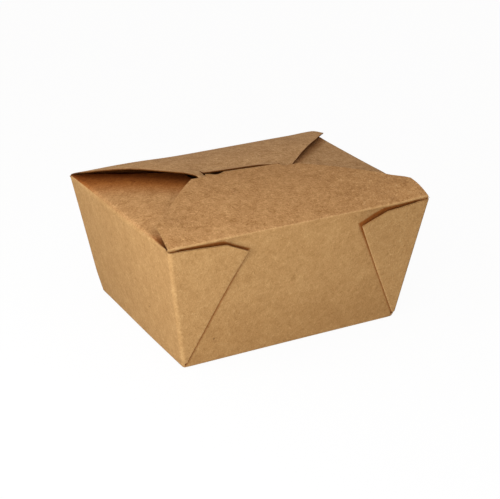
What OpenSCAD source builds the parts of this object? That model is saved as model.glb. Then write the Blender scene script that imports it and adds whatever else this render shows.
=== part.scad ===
// Take-out lunch box folded from one sheet of kraft board.
// Front is -Y, the long sides lie along X, the base rests on Z = 0.
// Panels are drawn on the board's middle surface and given its thickness; a rod of
// the same thickness rounds each crease. The four corners are webs of board, folded
// in two on a diagonal and laid flat against the outside of the long walls.

/* [Board] */
// Thickness of the board
board = 0.45; // [0.35:0.05:0.55]
// Air between folded layers
ply_gap = 0.1; // [0.08:0.02:0.2]
// Creases stand proud of the board by this much in all
crease_bead = 0.1; // [0.06:0.02:0.14]

/* [Box] */
// Length of the base, left to right
base_length = 110; // [100:0.5:120]
// Width of the base, front to back
base_width = 90.5; // [82:0.5:98]
// Length of the rim
rim_length = 131; // [124:0.5:138]
// Width of the rim
rim_width = 107; // [101:0.5:113]
// Height of the rim over the table
rim_height = 60.5; // [50:0.5:75]

/* [Corner webs] */
// Gap between a web's top edge and the rim, at the corner of the box
web_drop = 1.6; // [1.4:0.2:5]
// Length of a web's top edge
web_top = 25; // [15:0.5:30]
// Fall of the top edge along its length
web_fall = 0.6; // [0.2:0.2:2]
// Fall of the steeper cut between the top edge and the fold
web_cut = 4.5; // [2:0.1:9]
// Height over the base at which the web's layers start
web_foot = 1; // [0.6:0.1:3]

/* [Lid flaps] */
// Flap sides stand in from the ends of the rim
flap_inset = 0.5; // [0.4:0.1:3]
// Depth of the straight side next to a flap's crease
ear_depth = 14.2; // [8:0.2:18]
// Half the width of the back flap at its free edge
back_edge = 22.8; // [22:0.2:28]
// Half the width of the front flap at its shoulders
front_edge = 27.8; // [24:0.2:30]
// Rise of the back flap at the root of its lip
back_rise = 7.4; // [5:0.1:9]
// Back flap ends this far in front of the middle
back_overlap = 1.6; // [1:0.1:4]
// Front flap's shoulders end this far in front of the middle
shoulder_gap = 1; // [0.4:0.1:3]

/* [Lock] */
// Free edge of the lip lies this far behind the middle
slit_offset = 2.7; // [2:0.1:5]
// Length of the lip behind the slit
lip_length = 4.3; // [3:0.1:6]
// Width of the slit in front of the lip
slit_gap = 1; // [0.8:0.1:2]
// Half the length of the slit
slit_half = 20.5; // [14:0.1:21]
// Radius to which the strip in front of the slit curls down
curl_radius = 31; // [24:1:45]
// Half the width of the tongue
tongue_half = 19.6; // [12:0.1:20]
// Cut corners at the tongue's end
tongue_cut = 1.6; // [0.8:0.1:2.2]
// Clearance between the tongue and the strip under it
lock_gap = 0.25; // [0.2:0.05:0.5]
// Clearance between the tongue's end and the lip
tongue_gap = 0.5; // [0.3:0.05:0.7]
// Width of the cuts at the two ends of the lip
lip_kerf = 0.3; // [0.2:0.05:0.6]
// Height of the lip's edge over the tongue
lip_lift = 0.2; // [0.1:0.05:0.5]

/* [Side flaps] */
// Length of a side flap
side_length = 42; // [36:0.5:46]
// Half the width of a side flap at its crease
side_crease = 48.5; // [42:0.5:49]
// Half the width of a side flap where its taper changes
side_waist = 32; // [25:0.5:34]
// Distance of that place from the crease
waist_depth = 18; // [12:0.5:24]
// Half the width of a side flap at its free edge
side_edge = 18; // [12:0.5:19]
// Rise of a side flap towards the middle of the box, in degrees
side_rise = 8; // [2:0.5:8.5]

/* [Crease of the front flap] */
// Running clearance between the front wall and its flap
crease_gap = 0.1; // [0.06:0.02:0.2]

/* [Hidden] */
$fn = 360;
kraft = "#b58b59";
flap_kraft = "#bd9462";

// Middle surface of the board: the outer skin of the box is the side walls and the webs' outer layers.
pitch = board + ply_gap;
bead = board + crease_bead;
foot_z = board / 2;
rim_z = rim_height - board / 2;
wall_rise = rim_z - foot_z;
skin_foot_x = (base_length - board) / 2;
skin_foot_y = (base_width - board) / 2;
skin_rim_x = (rim_length - board) / 2;
skin_rim_y = (rim_width - board) / 2;

// The long walls stand two layers inside the skin, so that the folded webs end flush with it.
long_lean = atan((skin_rim_y - skin_foot_y) / wall_rise);
side_lean = atan((skin_rim_x - skin_foot_x) / wall_rise);
web_layers = 2;
wall_inset = web_layers * pitch / cos(long_lean);
foot_y = skin_foot_y - wall_inset;
rim_y = skin_rim_y - wall_inset;
long_slant = wall_rise / cos(long_lean);
side_slant = wall_rise / cos(side_lean);

// A web's fold halves the angle that is left between the two walls in the flat sheet.
long_flare = atan((skin_rim_x - skin_foot_x) / long_slant);
side_flare = atan((skin_rim_y - skin_foot_y) / side_slant);
fold_lean = (90 - long_flare - side_flare) / 2 - long_flare;
web_head = long_slant - web_drop;
fold_head = web_head - web_fall - web_cut;

// Lid profile, measured from a flap's crease towards the middle of the box and up from the rim.
flap_half = skin_rim_x - flap_inset;
lip_end = rim_y - slit_offset;
lip_root = lip_end - lip_length;
strip_start = lip_end + slit_gap;
back_end = rim_y + back_overlap;
back_slope = 2 * atan(back_rise / lip_root);
back_radius = lip_root / sin(back_slope);
curl_slope = asin((back_end - lip_root) / curl_radius);
strip_rise = back_rise - curl_radius * (1 - cos(asin((strip_start - lip_root) / curl_radius)));
front_end = 2 * rim_y - lip_end - tongue_gap;
shoulder_end = rim_y - shoulder_gap;
front_rise = strip_rise + board + lock_gap;
front_slope = 2 * atan(front_rise / front_end);
front_radius = front_end / sin(front_slope);
lip_slope = atan((front_rise + lip_lift - back_rise) / lip_length);
lip_half = slit_half - lip_kerf;
score_half = back_edge + (flap_half - back_edge) * (back_end - lip_root) / (back_end - ear_depth) - bead;
cover = rim_height;

// Half the length of a long wall at a height up its slant.
function half_at(v) = skin_foot_x + v * tan(long_flare);
// Distance of a web's fold from the middle of its wall at a height up the slant.
function fold_at(v) = skin_foot_x - v * tan(fold_lean);

// Flat panel of board, drawn in XY on its middle surface.
module panel(points) {
    linear_extrude(board, center = true) polygon(points);
}

// Round rod between two points.
module rod(a, b, d = bead) {
    run = b - a;
    translate(a) rotate([0, acos(run[2] / norm(run)), atan2(run[1], run[0])])
        cylinder(h = norm(run), d = d);
}

// Panel bent to an arc: leaves the X axis towards +Y at one slope and ends at another.
module bent_panel(radius, from, to, half) {
    translate([0, radius * sin(from), -radius * cos(from)]) rotate([90, 0, 90])
        rotate([0, 0, 90 + to]) rotate_extrude(angle = from - to)
            translate([radius - board / 2, -half]) square([board, 2 * half]);
}

// Frame of a long wall: X along the base crease, Y up the wall, Z outwards.
module on_long_wall(turn) {
    rotate([0, 0, turn]) translate([0, -foot_y, foot_z]) rotate([90 + long_lean, 0, 0]) children();
}

// Frame of a long flap: X along the crease, Y towards the middle of the box, Z up.
module on_long_rim(turn) {
    rotate([0, 0, turn]) translate([0, -rim_y, rim_z]) children();
}

module base_panel() {
    translate([0, 0, foot_z]) {
        panel([[-skin_foot_x, -foot_y], [skin_foot_x, -foot_y], [skin_foot_x, foot_y], [-skin_foot_x, foot_y]]);
        for (y = [-foot_y, foot_y]) rod([-skin_foot_x, y, crease_bead], [skin_foot_x, y, crease_bead]);
    }
}

module long_wall(turn, head) {
    on_long_wall(turn)
        panel([[-skin_foot_x, 0], [skin_foot_x, 0], [half_at(head), head], [-half_at(head), head]]);
}

// One corner web: two layers joined by the rounded fold on the diagonal.
module web() {
    outline = [
        [half_at(web_foot), web_foot],
        [half_at(web_head), web_head],
        [half_at(web_head) - web_top, web_head - web_fall],
        [fold_at(fold_head), fold_head],
        [fold_at(web_foot), web_foot]
    ];
    for (layer = [1 : web_layers]) translate([0, 0, layer * pitch]) panel(outline);
    fold_z = (web_layers + 1) / 2 * pitch;
    rod([fold_at(web_foot), web_foot, fold_z], [fold_at(fold_head), fold_head, fold_z], pitch + bead);
}

module webs() {
    for (turn = [0, 180]) on_long_wall(turn) {
        web();
        mirror([1, 0, 0]) web();
    }
}

module side_wall(turn) {
    rotate([0, 0, turn]) translate([0, -skin_foot_x, foot_z]) {
        rotate([90 + side_lean, 0, 0])
            panel([[-skin_foot_y, 0], [skin_foot_y, 0], [skin_rim_y, side_slant], [-skin_rim_y, side_slant]]);
        rod([-skin_foot_y, 0, crease_bead], [skin_foot_y, 0, crease_bead]);
    }
}

module corner_creases() {
    for (x = [-1, 1], y = [-1, 1])
        rod([x * skin_foot_x, y * skin_foot_y, foot_z], [x * skin_rim_x, y * skin_rim_y, rim_z]);
}

// A side flap springs up against the flaps that lie over it.
module side_flap(turn) {
    rotate([0, 0, turn]) translate([0, -skin_rim_x, rim_z]) {
        rotate([side_rise, 0, 0])
            panel([
                [-side_crease, 0], [side_crease, 0], [side_waist, waist_depth], [side_edge, side_length],
                [-side_edge, side_length], [-side_waist, waist_depth]
            ]);
        rod([-side_crease, 0, 0], [side_crease, 0, 0]);
    }
}

// Outline of a long flap seen from above: straight ears, then slanting sides to the free edge.
function flap_outline(edge, end) = [
    [-flap_half, 0], [flap_half, 0], [flap_half, ear_depth], [edge, end], [-edge, end], [-flap_half, ear_depth]
];

// The back flap bows up to the root of its lip, and its strip curls down in front of the slit.
module back_flap() {
    on_long_rim(180) {
        rod([-flap_half, 0, 0], [flap_half, 0, 0]);
        difference() {
            intersection() {
                translate([0, 0, -cover / 2]) linear_extrude(cover) polygon(flap_outline(back_edge, back_end));
                union() {
                    bent_panel(back_radius, back_slope, 0, flap_half);
                    translate([0, lip_root, back_rise]) bent_panel(curl_radius, 0, -curl_slope, flap_half);
                }
            }
            translate([-slit_half, lip_root, -cover / 2]) cube([2 * slit_half, strip_start - lip_root, cover]);
        }
        lip();
    }
}

// Edge of the back flap behind the slit, lifted by the tongue of the front flap.
module lip() {
    translate([0, lip_root, back_rise]) {
        rotate([lip_slope, 0, 0])
            panel([
                [-lip_half, 0], [lip_half, 0],
                [lip_half, lip_length / cos(lip_slope)], [-lip_half, lip_length / cos(lip_slope)]
            ]);
        rod([-score_half, 0, 0], [score_half, 0, 0]);
    }
}

module carton() {
    color(kraft) {
        base_panel();
        long_wall(0, long_slant - bead / 2 - crease_gap);
        long_wall(180, long_slant);
        webs();
        for (turn = [-90, 90]) {
            side_wall(turn);
            side_flap(turn);
        }
        corner_creases();
        back_flap();
    }
}

// The front flap turns on the front rim; its tongue lies over the strip and ends in the slit.
module front_flap() {
    outline = [
        [-flap_half, 0], [flap_half, 0], [flap_half, ear_depth], [front_edge, shoulder_end],
        [tongue_half, shoulder_end], [tongue_half, front_end - tongue_cut], [tongue_half - tongue_cut, front_end],
        [-tongue_half + tongue_cut, front_end], [-tongue_half, front_end - tongue_cut],
        [-tongue_half, shoulder_end], [-front_edge, shoulder_end], [-flap_half, ear_depth]
    ];
    color(flap_kraft) on_long_rim(0) {
        rod([-flap_half, 0, 0], [flap_half, 0, 0]);
        intersection() {
            translate([0, 0, -cover / 2]) linear_extrude(cover) polygon(outline);
            bent_panel(front_radius, front_slope, 0, flap_half);
        }
    }
}

carton();
front_flap();
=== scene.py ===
import math

import bmesh
import bpy
import numpy as np
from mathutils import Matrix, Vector


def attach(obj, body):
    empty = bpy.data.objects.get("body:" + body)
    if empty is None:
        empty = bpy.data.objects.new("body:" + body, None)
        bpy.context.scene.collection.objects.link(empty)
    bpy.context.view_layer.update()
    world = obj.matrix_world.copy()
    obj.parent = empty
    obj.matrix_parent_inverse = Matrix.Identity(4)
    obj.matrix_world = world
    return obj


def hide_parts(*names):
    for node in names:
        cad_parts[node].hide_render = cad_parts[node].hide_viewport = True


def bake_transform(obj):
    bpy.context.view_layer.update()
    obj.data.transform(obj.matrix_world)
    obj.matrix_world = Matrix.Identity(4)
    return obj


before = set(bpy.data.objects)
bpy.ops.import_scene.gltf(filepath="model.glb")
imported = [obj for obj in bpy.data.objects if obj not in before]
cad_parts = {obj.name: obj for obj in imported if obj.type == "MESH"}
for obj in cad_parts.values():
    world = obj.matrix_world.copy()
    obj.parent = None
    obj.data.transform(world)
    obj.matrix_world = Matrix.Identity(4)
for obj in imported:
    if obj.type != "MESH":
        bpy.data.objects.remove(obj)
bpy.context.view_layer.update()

# Sizes of the folded sheet in millimetres, as in the part's source.
BOARD, PLY = 0.45, 0.55
FOOT_Z, RIM_Z = 0.225, 60.275
SKIN_FOOT_X, SKIN_FOOT_Y = 54.775, 45.6
SKIN_RIM_X, SKIN_RIM_Y = 65.275, 53.275
WALL_RISE = RIM_Z - FOOT_Z
LONG_LEAN = math.atan((SKIN_RIM_Y - SKIN_FOOT_Y) / WALL_RISE)
SIDE_LEAN = math.atan((SKIN_RIM_X - SKIN_FOOT_X) / WALL_RISE)
INSET = 2 * PLY / math.cos(LONG_LEAN)
FOOT_Y, RIM_Y = SKIN_FOOT_Y - INSET, SKIN_RIM_Y - INSET
LONG_SLANT, SIDE_SLANT = WALL_RISE / math.cos(LONG_LEAN), WALL_RISE / math.cos(SIDE_LEAN)
LONG_FLARE = math.atan((SKIN_RIM_X - SKIN_FOOT_X) / LONG_SLANT)
SIDE_FLARE = math.atan((SKIN_RIM_Y - SKIN_FOOT_Y) / SIDE_SLANT)
FOLD_LEAN = (math.pi / 2 - LONG_FLARE - SIDE_FLARE) / 2 - LONG_FLARE
WEB_FOOT, WEB_HEAD, WEB_FALL, WEB_CUT = 3.0, LONG_SLANT - 1.25, 0.75, 4.5
FOLD_HEAD = WEB_HEAD - WEB_FALL - WEB_CUT
# The webs are not folded quite alike: the left ones reach further in along the rim.
WEB_TOP, WEB_MORE, FOLD_SHIFT, FOLD_MORE = 25.15, 2.25, 0.6, 0.9
FLAP_HALF, EAR = SKIN_RIM_X - 0.5, 14.2
LIP_END = RIM_Y - 2.7
LIP_ROOT, STRIP_START, BACK_END = LIP_END - 4.3, LIP_END + 1.0, RIM_Y + 1.6
BACK_EDGE, BACK_RISE, CURL = 22.8, 7.4, 31.0
FRONT_EDGE, FRONT_END, SHOULDER = 27.8, 2 * RIM_Y - LIP_END - 0.5, RIM_Y - 1.0
SIDE_CREASE, SIDE_WAIST, WAIST_DEPTH, SIDE_EDGE, SIDE_LENGTH = 51.2, 33.0, 18.0, 18.0, 42.0
SLIT_HALF, TONGUE_HALF, LIP_HALF = 20.2, 19.6, 19.9
# Bend radii of the creases on the board's middle surface.
FOOT_BEND, SIDE_BEND, RIM_BEND, CORNER_BEND = 0.55, 2.2, 0.45, 1.8
# Depth of the front wall's strip that belongs to the flap's sheet.
STRIP = 0.2
# How this one box has settled: corners and sides out of true,
RIGHT_OUT, FRONT_LEFT_IN, BACK_LEFT_FOOT_IN = 0.8, 1.2, 0.6
BACK_RIGHT_UP, RIGHT_RIM_UP, FRONT_RIGHT_UP = 0.7, 0.65, 0.6
# swells, wings, ears and tips of the long flaps, and the drop of the locked middle of the lid,
FRONT_WING, LEFT_EAR, RIGHT_EAR, EAR_IN = 0.5, 1.1, 1.15, 1.3
BACK_SWELL, BACK_WING, BACK_TIP, BACK_DROOP = 0.9, 1.6, 1.6, 0.9
LOCK_DROP, LOCK_TILT, TONGUE_DIP = 0.5, 0.035, 1.0
# rise and fall of the side flaps along their length, and the sunken front corners,
SIDE_SINK, SIDE_SPRING, SIDE_FALL, SIDE_CORNER_SINK = 3.4, 8.6, 0.6, 3.2
# swells of the walls, hollows behind the webs, and how far a web's top stands off at the corner and at its tip.
LONG_SWELL, SIDE_SWELL, HOLLOW, WEB_LIFT, TIP_LIFT = 0.35, 0.3, 1.2, 0.45, 1.75
# Slack between boards that lie on each other: the front flap, side flaps, the back flap's strip, and the lip.
FRONT_SLACK, SIDE_SLACK, STRIP_SLACK, LIP_SLACK = 0.25, 0.12, 0.08, 0.36
# Edges that turn more than this are sharp.
SHARP = math.radians(50)
# Span of the blank's UV map, and a millimetre in scene units.
BLANK_SPAN, MM = 400.0, 0.001


def smooth(x, low, high):
    """Eased step from 0 at low to 1 at high."""
    t = np.clip((np.asarray(x, float) - low) / (high - low), 0, 1)
    return t * t * (3 - 2 * t)


def lower_of(a, b, ease=0.35):
    """The lower of two heights, with an eased change from one to the other."""
    return -ease * np.logaddexp(-a / ease, -b / ease)


def settle(p):
    """The box stands a little out of true: its right side leans out, its front left corner and back left foot
    are in, and its right corners and right rim are high."""
    x, y, z = p.T
    share = np.clip(z / RIM_Z, 0, 1)
    on_long_wall = smooth(np.abs(y), 38, 48)
    out = RIGHT_OUT * share * smooth(x, 20 - 15 * on_long_wall, 60 - 15 * on_long_wall)
    lean_in = FRONT_LEFT_IN * share * smooth(-x, 30, 60) * smooth(-y, 5, 50)
    foot_in = BACK_LEFT_FOOT_IN * (1 - smooth(z, 0, 14)) * smooth(-x, 30, 54) * smooth(y, -20, 45)
    up = BACK_RIGHT_UP * share ** 3 * smooth(y, -10, 50) * smooth(x, -20, 60)
    up += RIGHT_RIM_UP * share ** 3 * smooth(x, 52, 63) * smooth(y, -40, -15) * (1 - 0.5 * smooth(y, 40, 52))
    up += FRONT_RIGHT_UP * share ** 3 * smooth(x, 48, 64) * smooth(-y, 38, 52)
    return np.stack([x + out + lean_in + foot_in, y, z + up], -1)


class Sheet:
    """Middle surface of folded board: points, their places in the flat blank, how bent they are, and faces."""

    def __init__(self):
        self.points, self.flats, self.bends, self.faces = [], [], [], []

    def add(self, points, flats, bends=0.0):
        points = np.asarray(points, float)
        shape = points.shape[:-1]
        first = len(self.points)
        self.points.extend(points.reshape(-1, 3))
        self.flats.extend(np.broadcast_to(flats, shape + (2,)).reshape(-1, 2))
        self.bends.extend(np.broadcast_to(bends, shape).reshape(-1))
        return np.arange(first, len(self.points)).reshape(shape)

    def at(self, ids):
        return np.array([self.points[i] for i in np.asarray(ids).ravel()])

    def flat_at(self, ids):
        return np.array([self.flats[i] for i in np.asarray(ids).ravel()])

    def skin(self, ids):
        ids = np.asarray(ids)
        for r in range(ids.shape[0] - 1):
            for c in range(ids.shape[1] - 1):
                self.faces.append((ids[r, c], ids[r, c + 1], ids[r + 1, c + 1], ids[r + 1, c]))

    def fold(self, a, b, leave, arrive, steps=6, scuffing_and_highlight=1.0):
        """Rounds a crease between two rows of points, from one to the other along given directions."""
        pa, pb, fa, fb = self.at(a), self.at(b), self.flat_at(a), self.flat_at(b)
        leave, arrive = np.broadcast_to(leave, pa.shape), np.broadcast_to(arrive, pa.shape)
        turn = np.arccos(np.clip((leave * arrive).sum(1), -1, 1))
        chord = np.linalg.norm(pb - pa, axis=1)
        grip = (2 / 3 * np.tan(turn / 4) / np.maximum(np.sin(turn / 2), 1e-4) * chord)[:, None]
        rows = [np.asarray(a)]
        for k in range(1, steps):
            t = k / steps
            p = ((1 - t) ** 3 * pa + 3 * (1 - t) ** 2 * t * (pa + leave * grip)
                 + 3 * (1 - t) * t * t * (pb - arrive * grip) + t ** 3 * pb)
            # The crease is paled along its bend, partly as scuffing and partly as a painted highlight.
            rows.append(self.add(p, fa + (fb - fa) * t, scuffing_and_highlight * math.sin(math.pi * t)))
        rows.append(np.asarray(b))
        ids = np.array(rows)
        self.skin(ids)
        return ids

    def fan(self, ring):
        """Closes a small ring of points round its middle."""
        middle = self.add(self.at(ring).mean(0), self.flat_at(ring).mean(0), 0.5)
        for i in range(len(ring)):
            self.faces.append((ring[i], ring[(i + 1) % len(ring)], int(middle)))

    def build(self, name, materials, outer):
        """A mesh object of the sheet at its thickness, smooth over its bends and sharp at its cut edges.
        The materials are those of the outer side, the cut edges and the inner side; outer is which way
        the first panel's outer side faces, up or down."""
        mesh = bpy.data.meshes.new(name)
        points = settle(np.array(self.points)) * MM
        mesh.from_pydata(points.tolist(), [], [tuple(int(i) for i in f) for f in self.faces])
        bent = mesh.attributes.new("bend", "FLOAT", "POINT")
        bent.data.foreach_set("value", np.array(self.bends, np.float32))
        uv = mesh.uv_layers.new(name="blank")
        flats = np.array(self.flats) / BLANK_SPAN + 0.5
        corner = np.empty(len(mesh.loops), int)
        mesh.loops.foreach_get("vertex_index", corner)
        uv.data.foreach_set("uv", flats[corner].astype(np.float32).ravel())
        work = bmesh.new()
        work.from_mesh(mesh)
        bmesh.ops.recalc_face_normals(work, faces=work.faces)
        work.faces.ensure_lookup_table()
        if work.faces[0].normal.dot(outer) < 0:
            bmesh.ops.reverse_faces(work, faces=work.faces)
        work.to_mesh(mesh)
        work.free()
        shell = bpy.data.objects.new(name, mesh)
        bpy.context.collection.objects.link(shell)
        for m in materials:
            mesh.materials.append(m)
        thick = shell.modifiers.new("board", "SOLIDIFY")
        thick.thickness, thick.offset = BOARD * MM, 0.0
        thick.use_rim, thick.material_offset_rim, thick.material_offset = True, 1, 2
        solid = bpy.data.meshes.new_from_object(shell.evaluated_get(bpy.context.evaluated_depsgraph_get()))
        shell.modifiers.clear()
        shell.data = solid
        solid.name = name
        work = bmesh.new()
        work.from_mesh(solid)
        for v in work.verts:
            v.co.z = max(v.co.z, 0.0)
        for f in work.faces:
            f.smooth = True
        for e in work.edges:
            e.smooth = e.is_manifold and e.calc_face_angle(0) < SHARP
        work.to_mesh(solid)
        work.free()
        return shell


# Columns of the long panels as shares of the flap's half width, with the lock's ends among them.
SPAN = 17
inner = np.linspace(-SLIT_HALF, SLIT_HALF, SPAN)
outer = np.linspace(SLIT_HALF, FLAP_HALF, SPAN)[1:]
COLUMNS = np.concatenate([-outer[::-1], inner, outer]) / FLAP_HALF
LEFT, MIDDLE, RIGHT = slice(0, SPAN), slice(SPAN - 1, 2 * SPAN - 1), slice(2 * SPAN - 2, 3 * SPAN - 2)
# Columns of the side panels as shares of the wall's half width, with the side flap's ends among them.
SIDE_SPAN, FLAP_SHARE = 41, SIDE_CREASE / SKIN_RIM_Y
SIDE_COLUMNS = np.concatenate([[-1], np.linspace(-FLAP_SHARE, FLAP_SHARE, SIDE_SPAN), [1]])
SIDE_MIDDLE = slice(1, SIDE_SPAN + 1)


def setback(bend, turn):
    """How far a bend of a given radius and turn starts before its crease."""
    return bend * math.tan(turn / 2)


LONG_FOOT = setback(FOOT_BEND, math.pi / 2 - LONG_LEAN)
SIDE_FOOT = setback(SIDE_BEND, math.pi / 2 - SIDE_LEAN)
CORNER = setback(CORNER_BEND, math.radians(85))
# The side rim is a soft bend in the middle and a tighter one at the corners of the box.
SIDE_SET = 0.8 + 1.5 * smooth(1 - np.abs(SIDE_COLUMNS), 0.02, 0.4)
# Rows of the walls as heights up the long walls' slant.
WEB_SPAN = 24
ROWS = np.concatenate([[LONG_FOOT, 1.8], np.linspace(WEB_FOOT, WEB_HEAD, WEB_SPAN), [LONG_SLANT - RIM_BEND - STRIP]])
WEB_ROWS = slice(2, WEB_SPAN + 2)
# How far the ends of the long walls are tucked in for the webs to fold round them.
EDGE_IN = BOARD + PLY / 2 + 0.06


def half_at(v):
    """Half length of the box's front at v up the slant."""
    return SKIN_FOOT_X + v * math.tan(LONG_FLARE)


def fold_at(v, shift=0.0):
    """Place along the front of a web's diagonal fold at v up the slant."""
    return SKIN_FOOT_X - v * math.tan(FOLD_LEAN) + shift * v / FOLD_HEAD


def long_point(sy, u, v, w):
    """Point on a long wall: u along it, v up its slant, w out of it; sy is -1 at the front and 1 at the back."""
    y = FOOT_Y + v * math.sin(LONG_LEAN) + w * math.cos(LONG_LEAN)
    z = FOOT_Z + v * math.cos(LONG_LEAN) - w * math.sin(LONG_LEAN)
    u, y, z = np.broadcast_arrays(u, sy * y, z)
    return np.stack([u, y, z], -1)


def side_point(sx, y, v, w):
    """Point on a side wall: y along it, v up its slant, w out of it; sx is -1 at the left and 1 at the right."""
    x = SKIN_FOOT_X + v * math.sin(SIDE_LEAN) + w * math.cos(SIDE_LEAN)
    z = FOOT_Z + v * math.cos(SIDE_LEAN) - w * math.sin(SIDE_LEAN)
    x, y, z = np.broadcast_arrays(sx * x, y, z)
    return np.stack([x, y, z], -1)


def wall_half(v):
    """Half length of a long wall: tucked in where the web folds round its end, full above the web."""
    tucked = half_at(v) - EDGE_IN
    return tucked + (FLAP_HALF + 0.3 - tucked) * smooth(v, WEB_HEAD, WEB_HEAD + 0.5)


def long_bow(share, v):
    """Slight outward swell of a long wall, and a hollow below its rim behind each web."""
    swell = LONG_SWELL * np.cos(share * math.pi / 2) * np.sin(math.pi * np.clip(v / LONG_SLANT, 0, 1))
    height = smooth(v, LONG_SLANT - 13, LONG_SLANT - 3) * (1 - smooth(v, LONG_SLANT - 1.3, LONG_SLANT - 0.6))
    hollow = smooth(np.abs(share), 0.42, 0.62) * (1 - smooth(np.abs(share), 0.88, 0.99))
    return swell - HOLLOW * height * hollow


def arc(y, rise, level):
    """Height of a flap that leaves its crease on an arc and is level at a given distance."""
    slope = 2 * math.atan(rise / level)
    radius = level / math.sin(slope)
    return np.sqrt(radius ** 2 - (level - y) ** 2) - radius * math.cos(slope)


STRIP_RISE = BACK_RISE - (CURL - math.sqrt(CURL ** 2 - (STRIP_START - LIP_ROOT) ** 2))
FRONT_RISE = STRIP_RISE + BOARD + FRONT_SLACK


def lid_tilt(x):
    """The locked middle of the lid sits lower on the right than on the left."""
    return -LOCK_DROP - LOCK_TILT * np.clip(x, -30, 30)


def front_z(x, y):
    """Height of the front flap over the rim, y from its crease."""
    t = np.clip(y / FRONT_END, 0, 1)
    wing = FRONT_WING * smooth(x, 5, 50) * np.sin(math.pi * t)
    ear = LEFT_EAR * smooth(-x, 44, 63) * np.sin(math.pi * np.clip(y / 30, 0, 1))
    ear = ear + RIGHT_EAR * smooth(x, 48, 63) * np.sin(math.pi * np.clip(y / 20, 0, 1))
    return arc(np.clip(y, 0, FRONT_END), FRONT_RISE, FRONT_END) + lid_tilt(x) * t ** 1.5 + wing + ear


def back_z(x, y):
    """Height of the back flap over the rim, y from its crease: it swells, its left wing stands up
    and its right end droops."""
    past = np.clip(y - LIP_ROOT, 0, None)
    plain = arc(np.clip(y, 0, LIP_ROOT), BACK_RISE, LIP_ROOT) - CURL + np.sqrt(CURL ** 2 - past ** 2)
    t = np.clip(y / LIP_ROOT, 0, 1)
    swell = BACK_SWELL * np.sin(math.pi * t) ** 0.8 * (1 - 0.6 * smooth(x, 0, 60))
    wing = BACK_WING * smooth(-x, 5, 40) * (1 - 0.5 * smooth(-x, 45, 64)) * np.sin(math.pi * np.clip(y / 60, 0, 1))
    tip = BACK_TIP * smooth(-x, 18, 26) * smooth(y, LIP_ROOT - 8, BACK_END)
    droop = BACK_DROOP * smooth(x, 40, 64) * smooth(y, 2, 14)
    return plain + swell + wing + tip - droop + lid_tilt(x) * t ** 1.5


def tongue_dip(x, y):
    """How far the tongue's left corner hangs below the front flap's curve, y from the front crease."""
    return TONGUE_DIP * smooth(-x, 9.5, 12.5) * (1 - smooth(-x, 13, 18)) * smooth(y, SHOULDER, FRONT_END)


def side_z(x, y, s):
    """Height of a side flap over the rim, s from its crease: it springs up under the front and back flaps,
    and its front corner is sunk."""
    height = -SIDE_SINK + SIDE_SPRING * smooth(y, -48, -16) - SIDE_FALL * smooth(y, -10, 32)
    free = height * (1 - np.exp(-s / 18)) - SIDE_CORNER_SINK * smooth(-y, 36, 50) * (1 - np.exp(-s / 3))
    under = BOARD + SIDE_SLACK
    front, back = y + RIM_Y, RIM_Y - y
    covered = np.abs(x) < flap_half_at(front, FRONT_EDGE, SHOULDER)
    free = np.where(covered, lower_of(free, front_z(x, front) - under), free)
    covered = np.abs(x) < flap_half_at(back, BACK_EDGE, BACK_END)
    return np.where(covered, lower_of(free, back_z(x, back) - under), free)


def flap_half_at(y, edge, end):
    """Half width of a long flap, y from its crease: full along its ears, then narrowing to edge at end."""
    return FLAP_HALF + (edge - FLAP_HALF) * np.clip((y - EAR) / (end - EAR), 0, 1)


def flap_columns(half):
    """Places across a flap of a given half width: straight in the middle, the outer ones along its slanting sides."""
    x = COLUMNS * FLAP_HALF
    past = np.clip((np.abs(x) - SLIT_HALF) / (FLAP_HALF - SLIT_HALF), 0, 1)
    return np.where(np.abs(x) <= SLIT_HALF, x, np.sign(x) * (SLIT_HALF + past * (half - SLIT_HALF)))


def rim_point(sy, x, y, z):
    """Point on a long flap: y from its crease towards the middle of the box, z up from the rim."""
    x, y, z = np.broadcast_arrays(x, sy * (RIM_Y - y), RIM_Z + z)
    return np.stack([x, y, z], -1)


def rim_flat(sy, x, y):
    """Place in the blank of a point on a long flap."""
    x, y = np.broadcast_arrays(x, sy * (FOOT_Y + LONG_SLANT + y))
    return np.stack([x, y], -1)


def across(p, axis_point, axis):
    """Mirror of flat points across a line."""
    axis = axis / np.linalg.norm(axis)
    d = p - axis_point
    return axis_point + 2 * (d @ axis)[..., None] * axis - d


carton = Sheet()
flap = Sheet()

# Base.
bx = COLUMNS * (SKIN_FOOT_X - SIDE_FOOT)
by = SIDE_COLUMNS * (FOOT_Y - LONG_FOOT)
gx, gy = np.meshgrid(bx, by)
base = carton.add(np.stack([gx, gy, np.full_like(gx, FOOT_Z)], -1), np.stack([gx, gy], -1))
carton.skin(base)

# Long walls.
walls = {}
for sy in (-1, 1):
    rows = ROWS if sy < 0 else np.append(ROWS, LONG_SLANT - RIM_BEND)
    v = rows[:, None]
    u = COLUMNS[None] * wall_half(v)
    flat = np.stack(np.broadcast_arrays(u, sy * (FOOT_Y + v)), -1)
    wall = carton.add(long_point(sy, u, v, long_bow(COLUMNS[None], v)), flat)
    carton.skin(wall)
    up = np.array([0, sy * math.sin(LONG_LEAN), math.cos(LONG_LEAN)])
    foot = carton.fold(base[0 if sy < 0 else -1], wall[0], np.array([0.0, sy, 0.0]), up)
    walls[sy] = (wall, up, foot)

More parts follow.
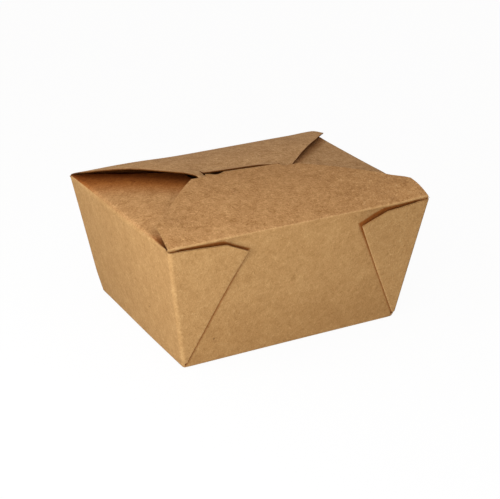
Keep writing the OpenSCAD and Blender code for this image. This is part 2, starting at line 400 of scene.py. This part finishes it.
# Side walls and side flaps.
sides = {}
for sx in (-1, 1):
    v = (ROWS * SIDE_SLANT / LONG_SLANT)[:, None]
    v[0], v[1], v[-1] = SIDE_FOOT, (SIDE_FOOT + v[2]) / 2, SIDE_SLANT - SIDE_SET[0]
    v = v * (SIDE_SLANT - SIDE_SET)[None] / v[-1]
    full = SKIN_FOOT_Y + v * math.tan(SIDE_FLARE)
    y = SIDE_COLUMNS[None] * (full - CORNER * (1 - smooth(ROWS[:, None], WEB_HEAD, WEB_HEAD + 0.4)))
    swell = SIDE_SWELL * np.cos(SIDE_COLUMNS[None] * math.pi / 2) * np.sin(math.pi * v / SIDE_SLANT)
    flat = np.stack(np.broadcast_arrays(sx * (SKIN_FOOT_X + v), y), -1)
    wall = carton.add(side_point(sx, y, v, swell), flat)
    carton.skin(wall)
    up = np.array([sx * math.sin(SIDE_LEAN), 0, math.cos(SIDE_LEAN)])
    foot = carton.fold(base[:, 0 if sx < 0 else -1], wall[0], np.array([sx, 0.0, 0.0]), up, 8, 0.3)
    sides[sx] = (wall, foot)
    first = SIDE_SET[None, SIDE_MIDDLE]
    s = first + (SIDE_LENGTH - first) * np.linspace(0, 1, 25)[:, None]
    half = np.interp(s, [0, WAIST_DEPTH, SIDE_LENGTH], [SIDE_CREASE, SIDE_WAIST, SIDE_EDGE])
    across_y = SIDE_COLUMNS[None, SIDE_MIDDLE] / FLAP_SHARE * half
    x = sx * (SKIN_RIM_X - s)
    z = RIM_Z + side_z(x, across_y, s)
    flat = np.stack([sx * (SKIN_FOOT_X + SIDE_SLANT + s), across_y], -1)
    side_flap = carton.add(np.stack([x, across_y, z], -1), flat)
    carton.skin(side_flap)
    inward = carton.at(side_flap[1]) - carton.at(side_flap[0])
    inward[:, 1] = 0
    inward /= np.linalg.norm(inward, axis=1)[:, None]
    carton.fold(wall[-1, SIDE_MIDDLE], side_flap[0], up, inward, 10, 0.2)

# Corner webs: an inner layer folded back on the end of the long wall, a fold on the diagonal,
# and an outer layer that runs into the side wall. Their tops stand off the wall.
TOP_SPAN, CUT_SPAN = 12, 7
rows = ROWS[WEB_ROWS]
share_up = ((rows - WEB_FOOT) / (WEB_HEAD - WEB_FOOT))[:, None]
for sy in (-1, 1):
    wall, _, wall_foot = walls[sy]
    for sx in (-1, 1):
        side, side_foot = sides[sx]
        tip_u = half_at(WEB_HEAD) - WEB_TOP + sx * WEB_MORE
        shift = FOLD_SHIFT + sx * FOLD_MORE
        layers = []
        for layer, end_in in ((1, EDGE_IN), (2, CORNER)):
            tip = PLY / 2 / math.cos(FOLD_LEAN)
            head_u = np.concatenate([np.linspace(half_at(WEB_HEAD) - end_in, tip_u, TOP_SPAN),
                                     np.linspace(tip_u, fold_at(FOLD_HEAD, shift) + tip, CUT_SPAN)[1:]])
            head_v = np.concatenate([np.linspace(WEB_HEAD, WEB_HEAD - WEB_FALL, TOP_SPAN),
                                     np.linspace(WEB_HEAD - WEB_FALL, FOLD_HEAD, CUT_SPAN)[1:]])
            part = (head_u[0] - head_u) / (head_u[0] - head_u[-1])
            foot_end = half_at(WEB_FOOT) - end_in
            foot_u = foot_end + part * (fold_at(WEB_FOOT, shift) + tip - half_at(WEB_FOOT) + end_in)
            u = foot_u[None] + share_up * (head_u - foot_u)[None]
            v = WEB_FOOT + share_up * (head_v - WEB_FOOT)[None]
            lift = share_up ** 3.5 * (WEB_LIFT + TIP_LIFT * smooth(part, 0, 1.1))[None]
            flat = np.stack([sx * u, v], -1)
            corner_foot = np.array([sx * SKIN_FOOT_X, 0.0])
            if layer == 2:
                flat = across(flat, corner_foot, np.array([-sx * math.tan(FOLD_LEAN), 1.0]))
            flat = across(flat, corner_foot, np.array([sx * math.tan(LONG_FLARE), 1.0]))
            flat[..., 1] = sy * (FOOT_Y + flat[..., 1])
            ids = carton.add(long_point(sy, sx * u, v, layer * PLY + lift), flat)
            carton.skin(ids)
            layers.append(ids)
        outward = np.array([sx, 0.0, 0.0])
        end = 0 if sx < 0 else -1
        carton.fold(wall[WEB_ROWS, end], layers[0][:, 0], outward, -outward, 6)
        away = long_point(sy, -sx * math.cos(FOLD_LEAN), -math.sin(FOLD_LEAN), 0.0) - long_point(sy, 0.0, 0.0, 0.0)
        carton.fold(layers[0][:, -1], layers[1][:, -1], away, -away, 6)
        side_end = 0 if sy < 0 else -1
        bend = carton.fold(layers[1][:, 0], side[WEB_ROWS, side_end], outward, np.array([0.0, -sy, 0.0]), 8, 0.36)
        ring = [int(i) for i in wall_foot[:, end]] + [int(wall[1, end]), int(wall[2, end])]
        ring += [int(i) for i in layers[1][0, ::-1]] + [int(i) for i in bend[1:, 0]]
        ring += [int(side[1, side_end])] + [int(i) for i in side_foot[:0:-1, side_end]]
        carton.fan(ring)

# Back flap: bowed up to the root of the lip, cut by the slit, its strip under the front flap.
wall, wall_up, _ = walls[1]
rows = np.concatenate([np.linspace(RIM_BEND, 6, 6), np.linspace(6, LIP_ROOT, 20)[1:]])
y = rows[:, None]
x = np.stack([flap_columns(flap_half_at(r, BACK_EDGE, BACK_END)) for r in rows])
body = carton.add(rim_point(1, x, y, back_z(x, y)), rim_flat(1, x, y))
carton.skin(body)
lean = carton.at(body[1]) - carton.at(body[0])
carton.fold(wall[-1], body[0], wall_up, lean / np.linalg.norm(lean, axis=1)[:, None])
LIP_ROWS = 4
rows = np.concatenate([np.linspace(LIP_ROOT, STRIP_START, LIP_ROWS + 1)[1:], np.linspace(STRIP_START, BACK_END, 5)[1:]])
y = rows[:, None]
x = np.stack([flap_columns(flap_half_at(r, BACK_EDGE, BACK_END)) for r in rows])
over = front_z(x, 2 * RIM_Y - y) - tongue_dip(x, 2 * RIM_Y - y) - BOARD - STRIP_SLACK
reach = np.where(np.abs(x) < TONGUE_HALF + 0.5, FRONT_END + 0.6, SHOULDER + 0.8)
beneath = (2 * RIM_Y - y < reach) & (np.abs(x) < FRONT_EDGE + 1)
z = np.where(beneath, np.minimum(back_z(x, y), over), back_z(x, y))
edge = carton.add(rim_point(1, x, y, z), rim_flat(1, x, y))
for wing in (LEFT, RIGHT):
    carton.skin(np.vstack([body[-1:, wing], edge[:LIP_ROWS, wing]]))
carton.skin(edge[LIP_ROWS - 1:])
rows = np.linspace(LIP_ROOT, LIP_END, 6)[1:]
y = rows[:, None]
x = inner[None] * LIP_HALF / SLIT_HALF
lip_end = front_z(x, 2 * RIM_Y - LIP_END) + (BOARD + LIP_SLACK) * (1 - 0.95 * smooth(x, 8, 17))
lip_root = back_z(inner[None], LIP_ROOT)
z = lip_root + (lip_end - lip_root) * ((y - LIP_ROOT) / (LIP_END - LIP_ROOT)) ** 1.3
lip = carton.add(rim_point(1, x, y, z), rim_flat(1, x, y))
carton.skin(np.vstack([body[-1:, MIDDLE], lip]))

# Front flap with its strip of the front wall, and the tongue.
v = np.linspace(LONG_SLANT - RIM_BEND - STRIP, LONG_SLANT - RIM_BEND, 2)[:, None]
u = COLUMNS[None] * wall_half(v)
flat = np.stack(np.broadcast_arrays(u, -(FOOT_Y + v)), -1)
strip = flap.add(long_point(-1, u, v, long_bow(COLUMNS[None], v)), flat)
flap.skin(strip)
rows = np.linspace(RIM_BEND, SHOULDER, 24)
y = rows[:, None]
x = np.stack([flap_columns(flap_half_at(r, FRONT_EDGE, SHOULDER)) for r in rows])
x = x + EAR_IN * smooth(y, 0, EAR) * smooth(-x, 30, FLAP_HALF)
body = flap.add(rim_point(-1, x, y, front_z(x, y)), rim_flat(-1, x, y))
flap.skin(body)
lean = flap.at(body[1]) - flap.at(body[0])
flap.fold(strip[-1], body[0], walls[-1][1], lean / np.linalg.norm(lean, axis=1)[:, None])
rows = np.linspace(SHOULDER, FRONT_END + 0.4, 5)[1:]
y = rows[:, None]
narrow = np.array([TONGUE_HALF, TONGUE_HALF, TONGUE_HALF - 0.1, TONGUE_HALF - 0.6])[:, None]
x = inner[None] / SLIT_HALF * narrow
tongue = flap.add(rim_point(-1, x, y, front_z(x, y) - tongue_dip(x, y)), rim_flat(-1, x, y))
flap.skin(np.vstack([body[-1:, MIDDLE], tongue]))


# Colours of the creases, paler partly from scuffing and partly as a painted highlight, and of the flecks.
SCUFF_AND_HIGHLIGHT, FLECK = (0.62, 0.39, 0.175, 1), (0.10, 0.05, 0.02, 1)
# Painted shades that multiply the board's colour at places of the sheet: dark orange in the gaps between its layers,
WEB_GAP_SHADE, WEB_BASE_SHADE, SIDE_FLAP_CORNER_SHADE = (0.6, 0.33, 0.15, 1), (0.45, 0.28, 0.16, 1), (0.68, 0.43, 0.26, 1)
SHADE_BENEATH_BACK_FLAP, DARKEST_SHADE_BENEATH_IT = (0.7, 0.43, 0.22, 1), (0.6, 0.42, 0.19, 1)
INNER_SIDE_SHADE, CUT_EDGE_SHADE = (0.5, 0.28, 0.13, 1), (0.35, 0.22, 0.13, 1)
# and slight painted light: warm light on the front and left flaps, a bluish sheen on the back and right flaps, and
# shade on the lower front wall.
PAINTED_WARM_LIGHT, PAINTED_SHEEN, LOW_FRONT_SHADE = (1.0, 0.945, 0.955, 1), (1.01, 1.03, 1.19, 1), (0.9, 0.87, 0.83, 1)


def kraft(name, tones, grain_size, roughness, shade_up_the_back=None):
    """Brown uncoated board: felted curly fibres, soft clouds and a few dark flecks, paler where it is creased, partly
    from scuffing and partly as a painted highlight, and rubbed up on the flaps, which are handled most, where its felt
    is stronger.
    Its painted shades lie at places of the blank. The inner side and the cut edges have one painted shade alone,
    up the back wall and the back flap; the outer side, which lacks that one, has all the others and painted warm light
    and sheen."""
    m = bpy.data.materials.new(name)
    m.use_nodes = True
    nodes, links = m.node_tree.nodes, m.node_tree.links
    nodes.clear()

    def feed(socket, value):
        if isinstance(value, bpy.types.NodeSocket):
            links.new(value, socket)
        else:
            socket.default_value = value

    def calc(operation, *values):
        n = nodes.new("ShaderNodeMath")
        n.operation = operation
        for socket, value in zip(n.inputs, values):
            feed(socket, value)
        return n.outputs[0]

    def total(*values):
        result = values[0]
        for v in values[1:]:
            result = calc("ADD", result, v)
        return result

    def noise(turn, long, wide, detail, rough, distort, shift=0.0):
        """Noise about zero whose features are long by wide millimetres, turned in the plane of the blank."""
        turned = nodes.new("ShaderNodeMapping")
        turned.inputs["Rotation"].default_value = (0, 0, math.radians(turn))
        links.new(blank, turned.inputs["Vector"])
        place = nodes.new("ShaderNodeMapping")
        place.inputs["Location"].default_value = (shift, shift, 0)
        place.inputs["Scale"].default_value = (BLANK_SPAN / long, BLANK_SPAN / wide, 1)
        links.new(turned.outputs[0], place.inputs["Vector"])
        n = nodes.new("ShaderNodeTexNoise")
        n.noise_dimensions = "2D"
        n.inputs["Scale"].default_value = 1
        n.inputs["Detail"].default_value = detail
        n.inputs["Roughness"].default_value = rough
        n.inputs["Distortion"].default_value = distort
        links.new(place.outputs[0], n.inputs["Vector"])
        return calc("SUBTRACT", n.outputs["Fac"], 0.5)

    def fibres(turn, size, width, shift):
        """Thin curly lines in short lengths."""
        curl = calc("ABSOLUTE", noise(turn, size * 1.5, size, 1.5, 0.55, 1.1, shift))
        curl = calc("SUBTRACT", 1.0, calc("MINIMUM", calc("DIVIDE", curl, width), 1.0))
        broken = calc("GREATER_THAN", noise(turn, size * 0.8, size * 0.8, 0, 0.5, 0.4, shift + 7), 0.03)
        return calc("MULTIPLY", curl, broken)

    def ease(value, low, high):
        """Eased step from 0 at low to 1 at high."""
        n = nodes.new("ShaderNodeMapRange")
        n.interpolation_type = "SMOOTHSTEP"
        feed(n.inputs["Value"], value)
        feed(n.inputs["From Min"], low)
        feed(n.inputs["From Max"], high)
        return n.outputs["Result"]

    def tint(factor, base, colour, blend="MIX"):
        mix = nodes.new("ShaderNodeMix")
        mix.data_type, mix.blend_type = "RGBA", blend
        links.new(factor, mix.inputs["Factor"])
        links.new(base, mix.inputs["A"])
        mix.inputs["B"].default_value = colour
        return mix.outputs["Result"]

    uv = nodes.new("ShaderNodeUVMap")
    uv.uv_map = "blank"
    blank = uv.outputs[0]
    place = nodes.new("ShaderNodeSeparateXYZ")
    links.new(blank, place.inputs[0])
    across_x, along_y = (calc("MULTIPLY_ADD", place.outputs[i], BLANK_SPAN, -BLANK_SPAN / 2) for i in (0, 1))
    half = calc("ABSOLUTE", across_x)
    up = calc("SUBTRACT", calc("ABSOLUTE", along_y), FOOT_Y)
    depth = calc("SUBTRACT", half, SKIN_FOOT_X + SIDE_SLANT)
    felt = total(*(noise(turn, long, 0.55, 2, 0.6, 0.9) for turn, long in ((18, 2.0), (78, 1.8), (-42, 2.0))))
    pale = total(fibres(10, 2.4, 0.035, 0), fibres(100, 2.8, 0.035, 31))
    dark = total(fibres(55, 2.6, 0.03, 57), fibres(-35, 3.0, 0.03, 83))
    streak = noise(0, 22, 1.2, 3, 0.6, 0.3)
    cloud = noise(0, 13, 11, 3, 0.55, 0.4)
    mottle = noise(30, 4.5, 3.6, 2, 0.6, 0.6)
    grain = noise(0, grain_size, grain_size, 1, 0.5, 0)
    shares = ((felt, 0.52), (streak, 0.10), (cloud, 0.32), (mottle, 0.48), (grain, 0.22), (pale, 0.24), (dark, -0.22))
    tone = total(*(calc("MULTIPLY", part, amount) for part, amount in shares))
    on_lid = calc("GREATER_THAN", calc("MAXIMUM", depth, calc("SUBTRACT", up, LONG_SLANT)), 0.0)
    tone = calc("MULTIPLY", tone, calc("MULTIPLY_ADD", on_lid, 0.66, 0.86))
    ramp = nodes.new("ShaderNodeValToRGB")
    links.new(calc("ADD", tone, 0.5), ramp.inputs[0])
    ramp.color_ramp.elements.new(0.5)
    for stop, position, colour in zip(ramp.color_ramp.elements, (0.0, 0.5, 1.0), tones):
        stop.position, stop.color = position, colour + (1,)
    # Creases are paled along their bend, partly as scuffing and partly as a painted highlight.
    bend = nodes.new("ShaderNodeAttribute")
    bend.attribute_name = "bend"
    scuff_and_highlight = calc("MULTIPLY", bend.outputs["Fac"], calc("ADD", 0.3, calc("MULTIPLY", felt, 0.5)))
    colour = tint(scuff_and_highlight, ramp.outputs[0], SCUFF_AND_HIGHLIGHT)
    flecks = nodes.new("ShaderNodeTexVoronoi")
    flecks.voronoi_dimensions = "2D"
    flecks.inputs["Scale"].default_value = BLANK_SPAN / 9
    links.new(blank, flecks.inputs["Vector"])
    small = calc("LESS_THAN", flecks.outputs["Distance"], 0.05)
    rare = calc("GREATER_THAN", flecks.outputs["Color"], 0.9)
    colour = tint(calc("MULTIPLY", calc("MULTIPLY", small, rare), 0.5), colour, FLECK)

    def painted_outer_shading():
        """The outer side's painted shades, painted warm light and painted sheen, each with the mask of its place in the
        blank.
        """

        def inside_of(out, u0, v0, u1, v1):
            """Distance of a point of the long walls from a line, positive on the web's side."""
            run, rise = u1 - u0, v1 - v0
            size = math.hypot(run, rise)
            off = calc("MULTIPLY_ADD", out, rise / size, -(u0 * rise - v0 * run) / size)
            return calc("MULTIPLY_ADD", up, -run / size, off)

        # Edges of the webs, which are not alike on the left and the right, for the painted shade beside them.
        tip = half_at(WEB_HEAD) - WEB_TOP
        sign = calc("SIGN", across_x)
        on_left = calc("LESS_THAN", across_x, 0.0)
        at_fold = calc("MULTIPLY_ADD", sign, -FOLD_MORE, -FOLD_SHIFT)
        at_tip = calc("SUBTRACT", calc("MULTIPLY", sign, -WEB_MORE), at_fold)
        low = calc("MINIMUM", calc("DIVIDE", up, FOLD_HEAD), 1.0)
        high = calc("MULTIPLY_ADD", up, 1 / WEB_CUT, -FOLD_HEAD / WEB_CUT)
        high = calc("MINIMUM", calc("MAXIMUM", high, 0.0), 1.0)
        head = total(half, calc("MULTIPLY", at_fold, low), calc("MULTIPLY", at_tip, high))
        web = calc("MINIMUM", inside_of(head, tip, WEB_HEAD - WEB_FALL, half_at(WEB_HEAD), WEB_HEAD),
                   inside_of(head, fold_at(FOLD_HEAD), FOLD_HEAD, tip, WEB_HEAD - WEB_FALL))
        # Beside the diagonal the painted shade is broader on the left.
        diagonal = inside_of(head, SKIN_FOOT_X, 0, fold_at(FOLD_HEAD), FOLD_HEAD)
        broad = calc("MULTIPLY", on_left, calc("MULTIPLY_ADD", low, 0.5, 0.25))
        diagonal = calc("MULTIPLY_ADD", diagonal, calc("MULTIPLY_ADD", on_left, -0.35, 0.8), broad)
        web = calc("MINIMUM", web, diagonal)
        on_wall = calc("LESS_THAN", calc("MULTIPLY_ADD", up, -math.tan(LONG_FLARE), half), SKIN_FOOT_X - 0.4)
        # Painted shade on the wall at the webs' tops and diagonal folds.
        behind = calc("MULTIPLY", ease(web, calc("MULTIPLY_ADD", sign, -0.15, -0.85), 0.3), on_wall)
        # Painted shade at each web's base, by the corner.
        from_foot = total(calc("POWER", calc("SUBTRACT", half, SKIN_FOOT_X - 0.6), 2.0),
                          calc("POWER", calc("SUBTRACT", up, 1.9), 2.0))
        # Side flaps: how far past the back flap's slanting edge, and their front corners, where shade is painted
        # beneath that edge and in those corners.
        fall = (BACK_END - EAR) / (FLAP_HALF - BACK_EDGE)
        edge = calc("MULTIPLY_ADD", depth, -fall, RIM_Y - EAR + 0.5 * fall)
        past = calc("MULTIPLY", calc("SUBTRACT", along_y, edge), math.cos(math.atan(fall)))
        on_side_flap = calc("GREATER_THAN", depth, 0.0)
        reach = calc("MULTIPLY_ADD", calc("GREATER_THAN", across_x, 0.0), 15.0, -19.0)
        under = calc("MULTIPLY", ease(past, reach, 0.5), on_side_flap)
        under = calc("MULTIPLY", under, calc("MULTIPLY_ADD", sign, -0.25, 0.75))
        darkest_shade = calc("MULTIPLY", ease(past, -4.0, 9.0), on_side_flap)
        corner = calc("MULTIPLY", ease(along_y, -31.0, -42.0), ease(depth, 9.0, 1.5))
        corner = calc("MULTIPLY", corner, ease(depth, -0.3, 1.0))
        # Slight painted light: warmer on the front and left flaps, a bluish sheen on the back and right flaps, and
        # shade on the lower front wall.
        long_rim, side_rim = FOOT_Y + LONG_SLANT, SKIN_FOOT_X + SIDE_SLANT
        front_left = calc("MINIMUM", calc("ADD", along_y, long_rim), calc("ADD", across_x, side_rim))
        back_right = calc("MAXIMUM", calc("SUBTRACT", along_y, long_rim), calc("SUBTRACT", across_x, side_rim))
        low_front_shade_mask = calc("MULTIPLY", ease(up, 36.0, 6.0), calc("LESS_THAN", along_y, -FOOT_Y))
        # Masks and what they multiply in: painted warm light, painted sheen, painted shade low on the front wall, at
        # the web bases, beside the webs, in the side flaps' front corners and beneath the back flap.
        return ((calc("LESS_THAN", front_left, 0.0), PAINTED_WARM_LIGHT), (calc("GREATER_THAN", back_right, 0.0), PAINTED_SHEEN),
                (calc("MULTIPLY", low_front_shade_mask, on_wall), LOW_FRONT_SHADE), (ease(from_foot, 2.2, 0.4), WEB_BASE_SHADE),
                (behind, WEB_GAP_SHADE), (corner, SIDE_FLAP_CORNER_SHADE), (under, SHADE_BENEATH_BACK_FLAP), (darkest_shade, DARKEST_SHADE_BENEATH_IT))

    # The inner side and the cut edges get only the painted shade up the back wall and the back flap; the outer side
    # gets all the other painted light.
    shades = ((ease(along_y, FOOT_Y + 25, FOOT_Y + 55), shade_up_the_back),) if shade_up_the_back else painted_outer_shading()
    for mask, shade in shades:
        colour = tint(mask, colour, shade, "MULTIPLY")
    bump = nodes.new("ShaderNodeBump")
    bump.inputs["Strength"].default_value = 0.8
    bump.inputs["Distance"].default_value = 0.00013
    links.new(total(felt, grain, calc("MULTIPLY", pale, 0.5)), bump.inputs["Height"])
    shader = nodes.new("ShaderNodeBsdfPrincipled")
    shader.inputs["Roughness"].default_value = roughness
    shader.inputs["Specular IOR Level"].default_value = 0.1
    links.new(colour, shader.inputs["Base Color"])
    links.new(bump.outputs[0], shader.inputs["Normal"])
    out = nodes.new("ShaderNodeOutputMaterial")
    links.new(shader.outputs[0], out.inputs[0])
    return m


face_tones = ((0.305, 0.152, 0.048), (0.454, 0.251, 0.093), (0.60, 0.365, 0.150))
board = kraft("kraft_board", face_tones, 0.35, 0.85)
# The inner side and the cut edges are darkened up the back by a painted shade.
inside = kraft("kraft_inner_side", face_tones, 0.35, 0.85, INNER_SIDE_SHADE)
edge_tones = ((0.24, 0.118, 0.04), (0.37, 0.198, 0.07), (0.48, 0.285, 0.115))
raw_edge = kraft("kraft_cut_edge", edge_tones, 0.2, 1.0, CUT_EDGE_SHADE)

carton_card = carton.build("carton_card", [board, raw_edge, inside], Vector((0, 0, -1)))
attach(carton_card, "carton")
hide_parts("carton")

flap_card = flap.build("front_flap_card", [board, raw_edge, inside], Vector((0, -1, 0)))
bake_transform(flap_card)
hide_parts("front_flap")


def seen(nodes, links):
    """Factor that is 1 for what is seen directly, mirrored or through glass, and 0 for light falling on things."""
    path = nodes.new("ShaderNodeLightPath")
    result = path.outputs["Is Camera Ray"]
    for name in ("Is Glossy Ray", "Is Transmission Ray"):
        n = nodes.new("ShaderNodeMath")
        n.operation = "MAXIMUM"
        links.new(result, n.inputs[0])
        links.new(path.outputs[name], n.inputs[1])
        result = n.outputs[0]
    return result


# Floor: white to the eye with the box's shadow on it, grey for the light that it throws back.
bpy.ops.mesh.primitive_plane_add(size=6, location=(0, 0, 0))
floor = bpy.context.object
floor.name = "floor"
pale = bpy.data.materials.new("pale_floor")
pale.use_nodes = True
nodes, links = pale.node_tree.nodes, pale.node_tree.links
nodes.clear()
bounce = nodes.new("ShaderNodeBsdfDiffuse")
bounce.inputs["Color"].default_value = (0.44, 0.44, 0.44, 1)
shaded = nodes.new("ShaderNodeBsdfDiffuse")
shaded.inputs["Color"].default_value = (0.95, 0.95, 0.95, 1)
glow = nodes.new("ShaderNodeEmission")
white = nodes.new("ShaderNodeMixShader")
white.inputs[0].default_value = 0.95
links.new(shaded.outputs[0], white.inputs[1])
links.new(glow.outputs[0], white.inputs[2])
pick = nodes.new("ShaderNodeMixShader")
links.new(seen(nodes, links), pick.inputs[0])
links.new(bounce.outputs[0], pick.inputs[1])
links.new(white.outputs[0], pick.inputs[2])
links.new(pick.outputs[0], nodes.new("ShaderNodeOutputMaterial").inputs[0])
floor.data.materials.append(pale)

# World: soft warm light on the box, plain white to the eye.
world = bpy.data.worlds.new("studio")
bpy.context.scene.world = world
world.use_nodes = True
nodes, links = world.node_tree.nodes, world.node_tree.links
soft = nodes["Background"]
soft.inputs["Color"].default_value = (1.0, 0.925, 0.88, 1)
soft.inputs["Strength"].default_value = 0.575
plain = nodes.new("ShaderNodeBackground")
plain.inputs["Color"].default_value = (1, 1, 1, 1)
plain.inputs["Strength"].default_value = 1.0
pick = nodes.new("ShaderNodeMixShader")
links.new(seen(nodes, links), pick.inputs[0])
links.new(soft.outputs[0], pick.inputs[1])
links.new(plain.outputs[0], pick.inputs[2])
links.new(pick.outputs[0], nodes["World Output"].inputs[0])


def softbox(name, toward, distance, width, height, power, colour):
    """A soft lamp that faces the middle of the box."""
    toward = Vector(toward).normalized()
    lamp = bpy.data.lights.new(name, "AREA")
    lamp.shape, lamp.size, lamp.size_y, lamp.energy, lamp.color = "RECTANGLE", width, height, power, colour
    stand = bpy.data.objects.new(name, lamp)
    bpy.context.collection.objects.link(stand)
    stand.location = toward * distance + Vector((0, 0, 0.03))
    stand.rotation_mode = "QUATERNION"
    stand.rotation_quaternion = (-toward).to_track_quat("-Z", "Y")


# A low lamp from the left and in front, and a near one over the left side whose light falls off across the lid:
# direction, distance, width, height, power and colour.
softbox("key", (-0.64, -0.75, 0.18), 0.54, 0.42, 0.22, 2.35, (1.0, 1.06, 1.14))
softbox("left", (-0.80, -0.12, 0.58), 0.30, 0.16, 0.16, 0.28, (1.0, 1.04, 1.12))

# Camera at the photograph's viewing angle.
azimuth, elevation, distance = math.radians(-28.5339), math.radians(22.9512), 0.60701
aim = Vector((-0.22, -5.44, 30.3)) * MM
FOCAL_PIXELS, PHOTO_WIDTH, SENSOR = 1301.5, 500, 36.0
back = Vector((math.sin(azimuth) * math.cos(elevation),
               -math.cos(azimuth) * math.cos(elevation),
               math.sin(elevation)))
eye = bpy.data.cameras.new("camera")
eye.sensor_width, eye.lens = SENSOR, FOCAL_PIXELS / PHOTO_WIDTH * SENSOR
eye.clip_start, eye.clip_end = 0.01, 20
camera = bpy.data.objects.new("camera", eye)
bpy.context.collection.objects.link(camera)
camera.location = aim + back * distance
camera.rotation_mode = "QUATERNION"
camera.rotation_quaternion = (-back).to_track_quat("-Z", "Y")
bpy.context.scene.camera = camera
bpy.context.scene.view_settings.view_transform = "Standard"
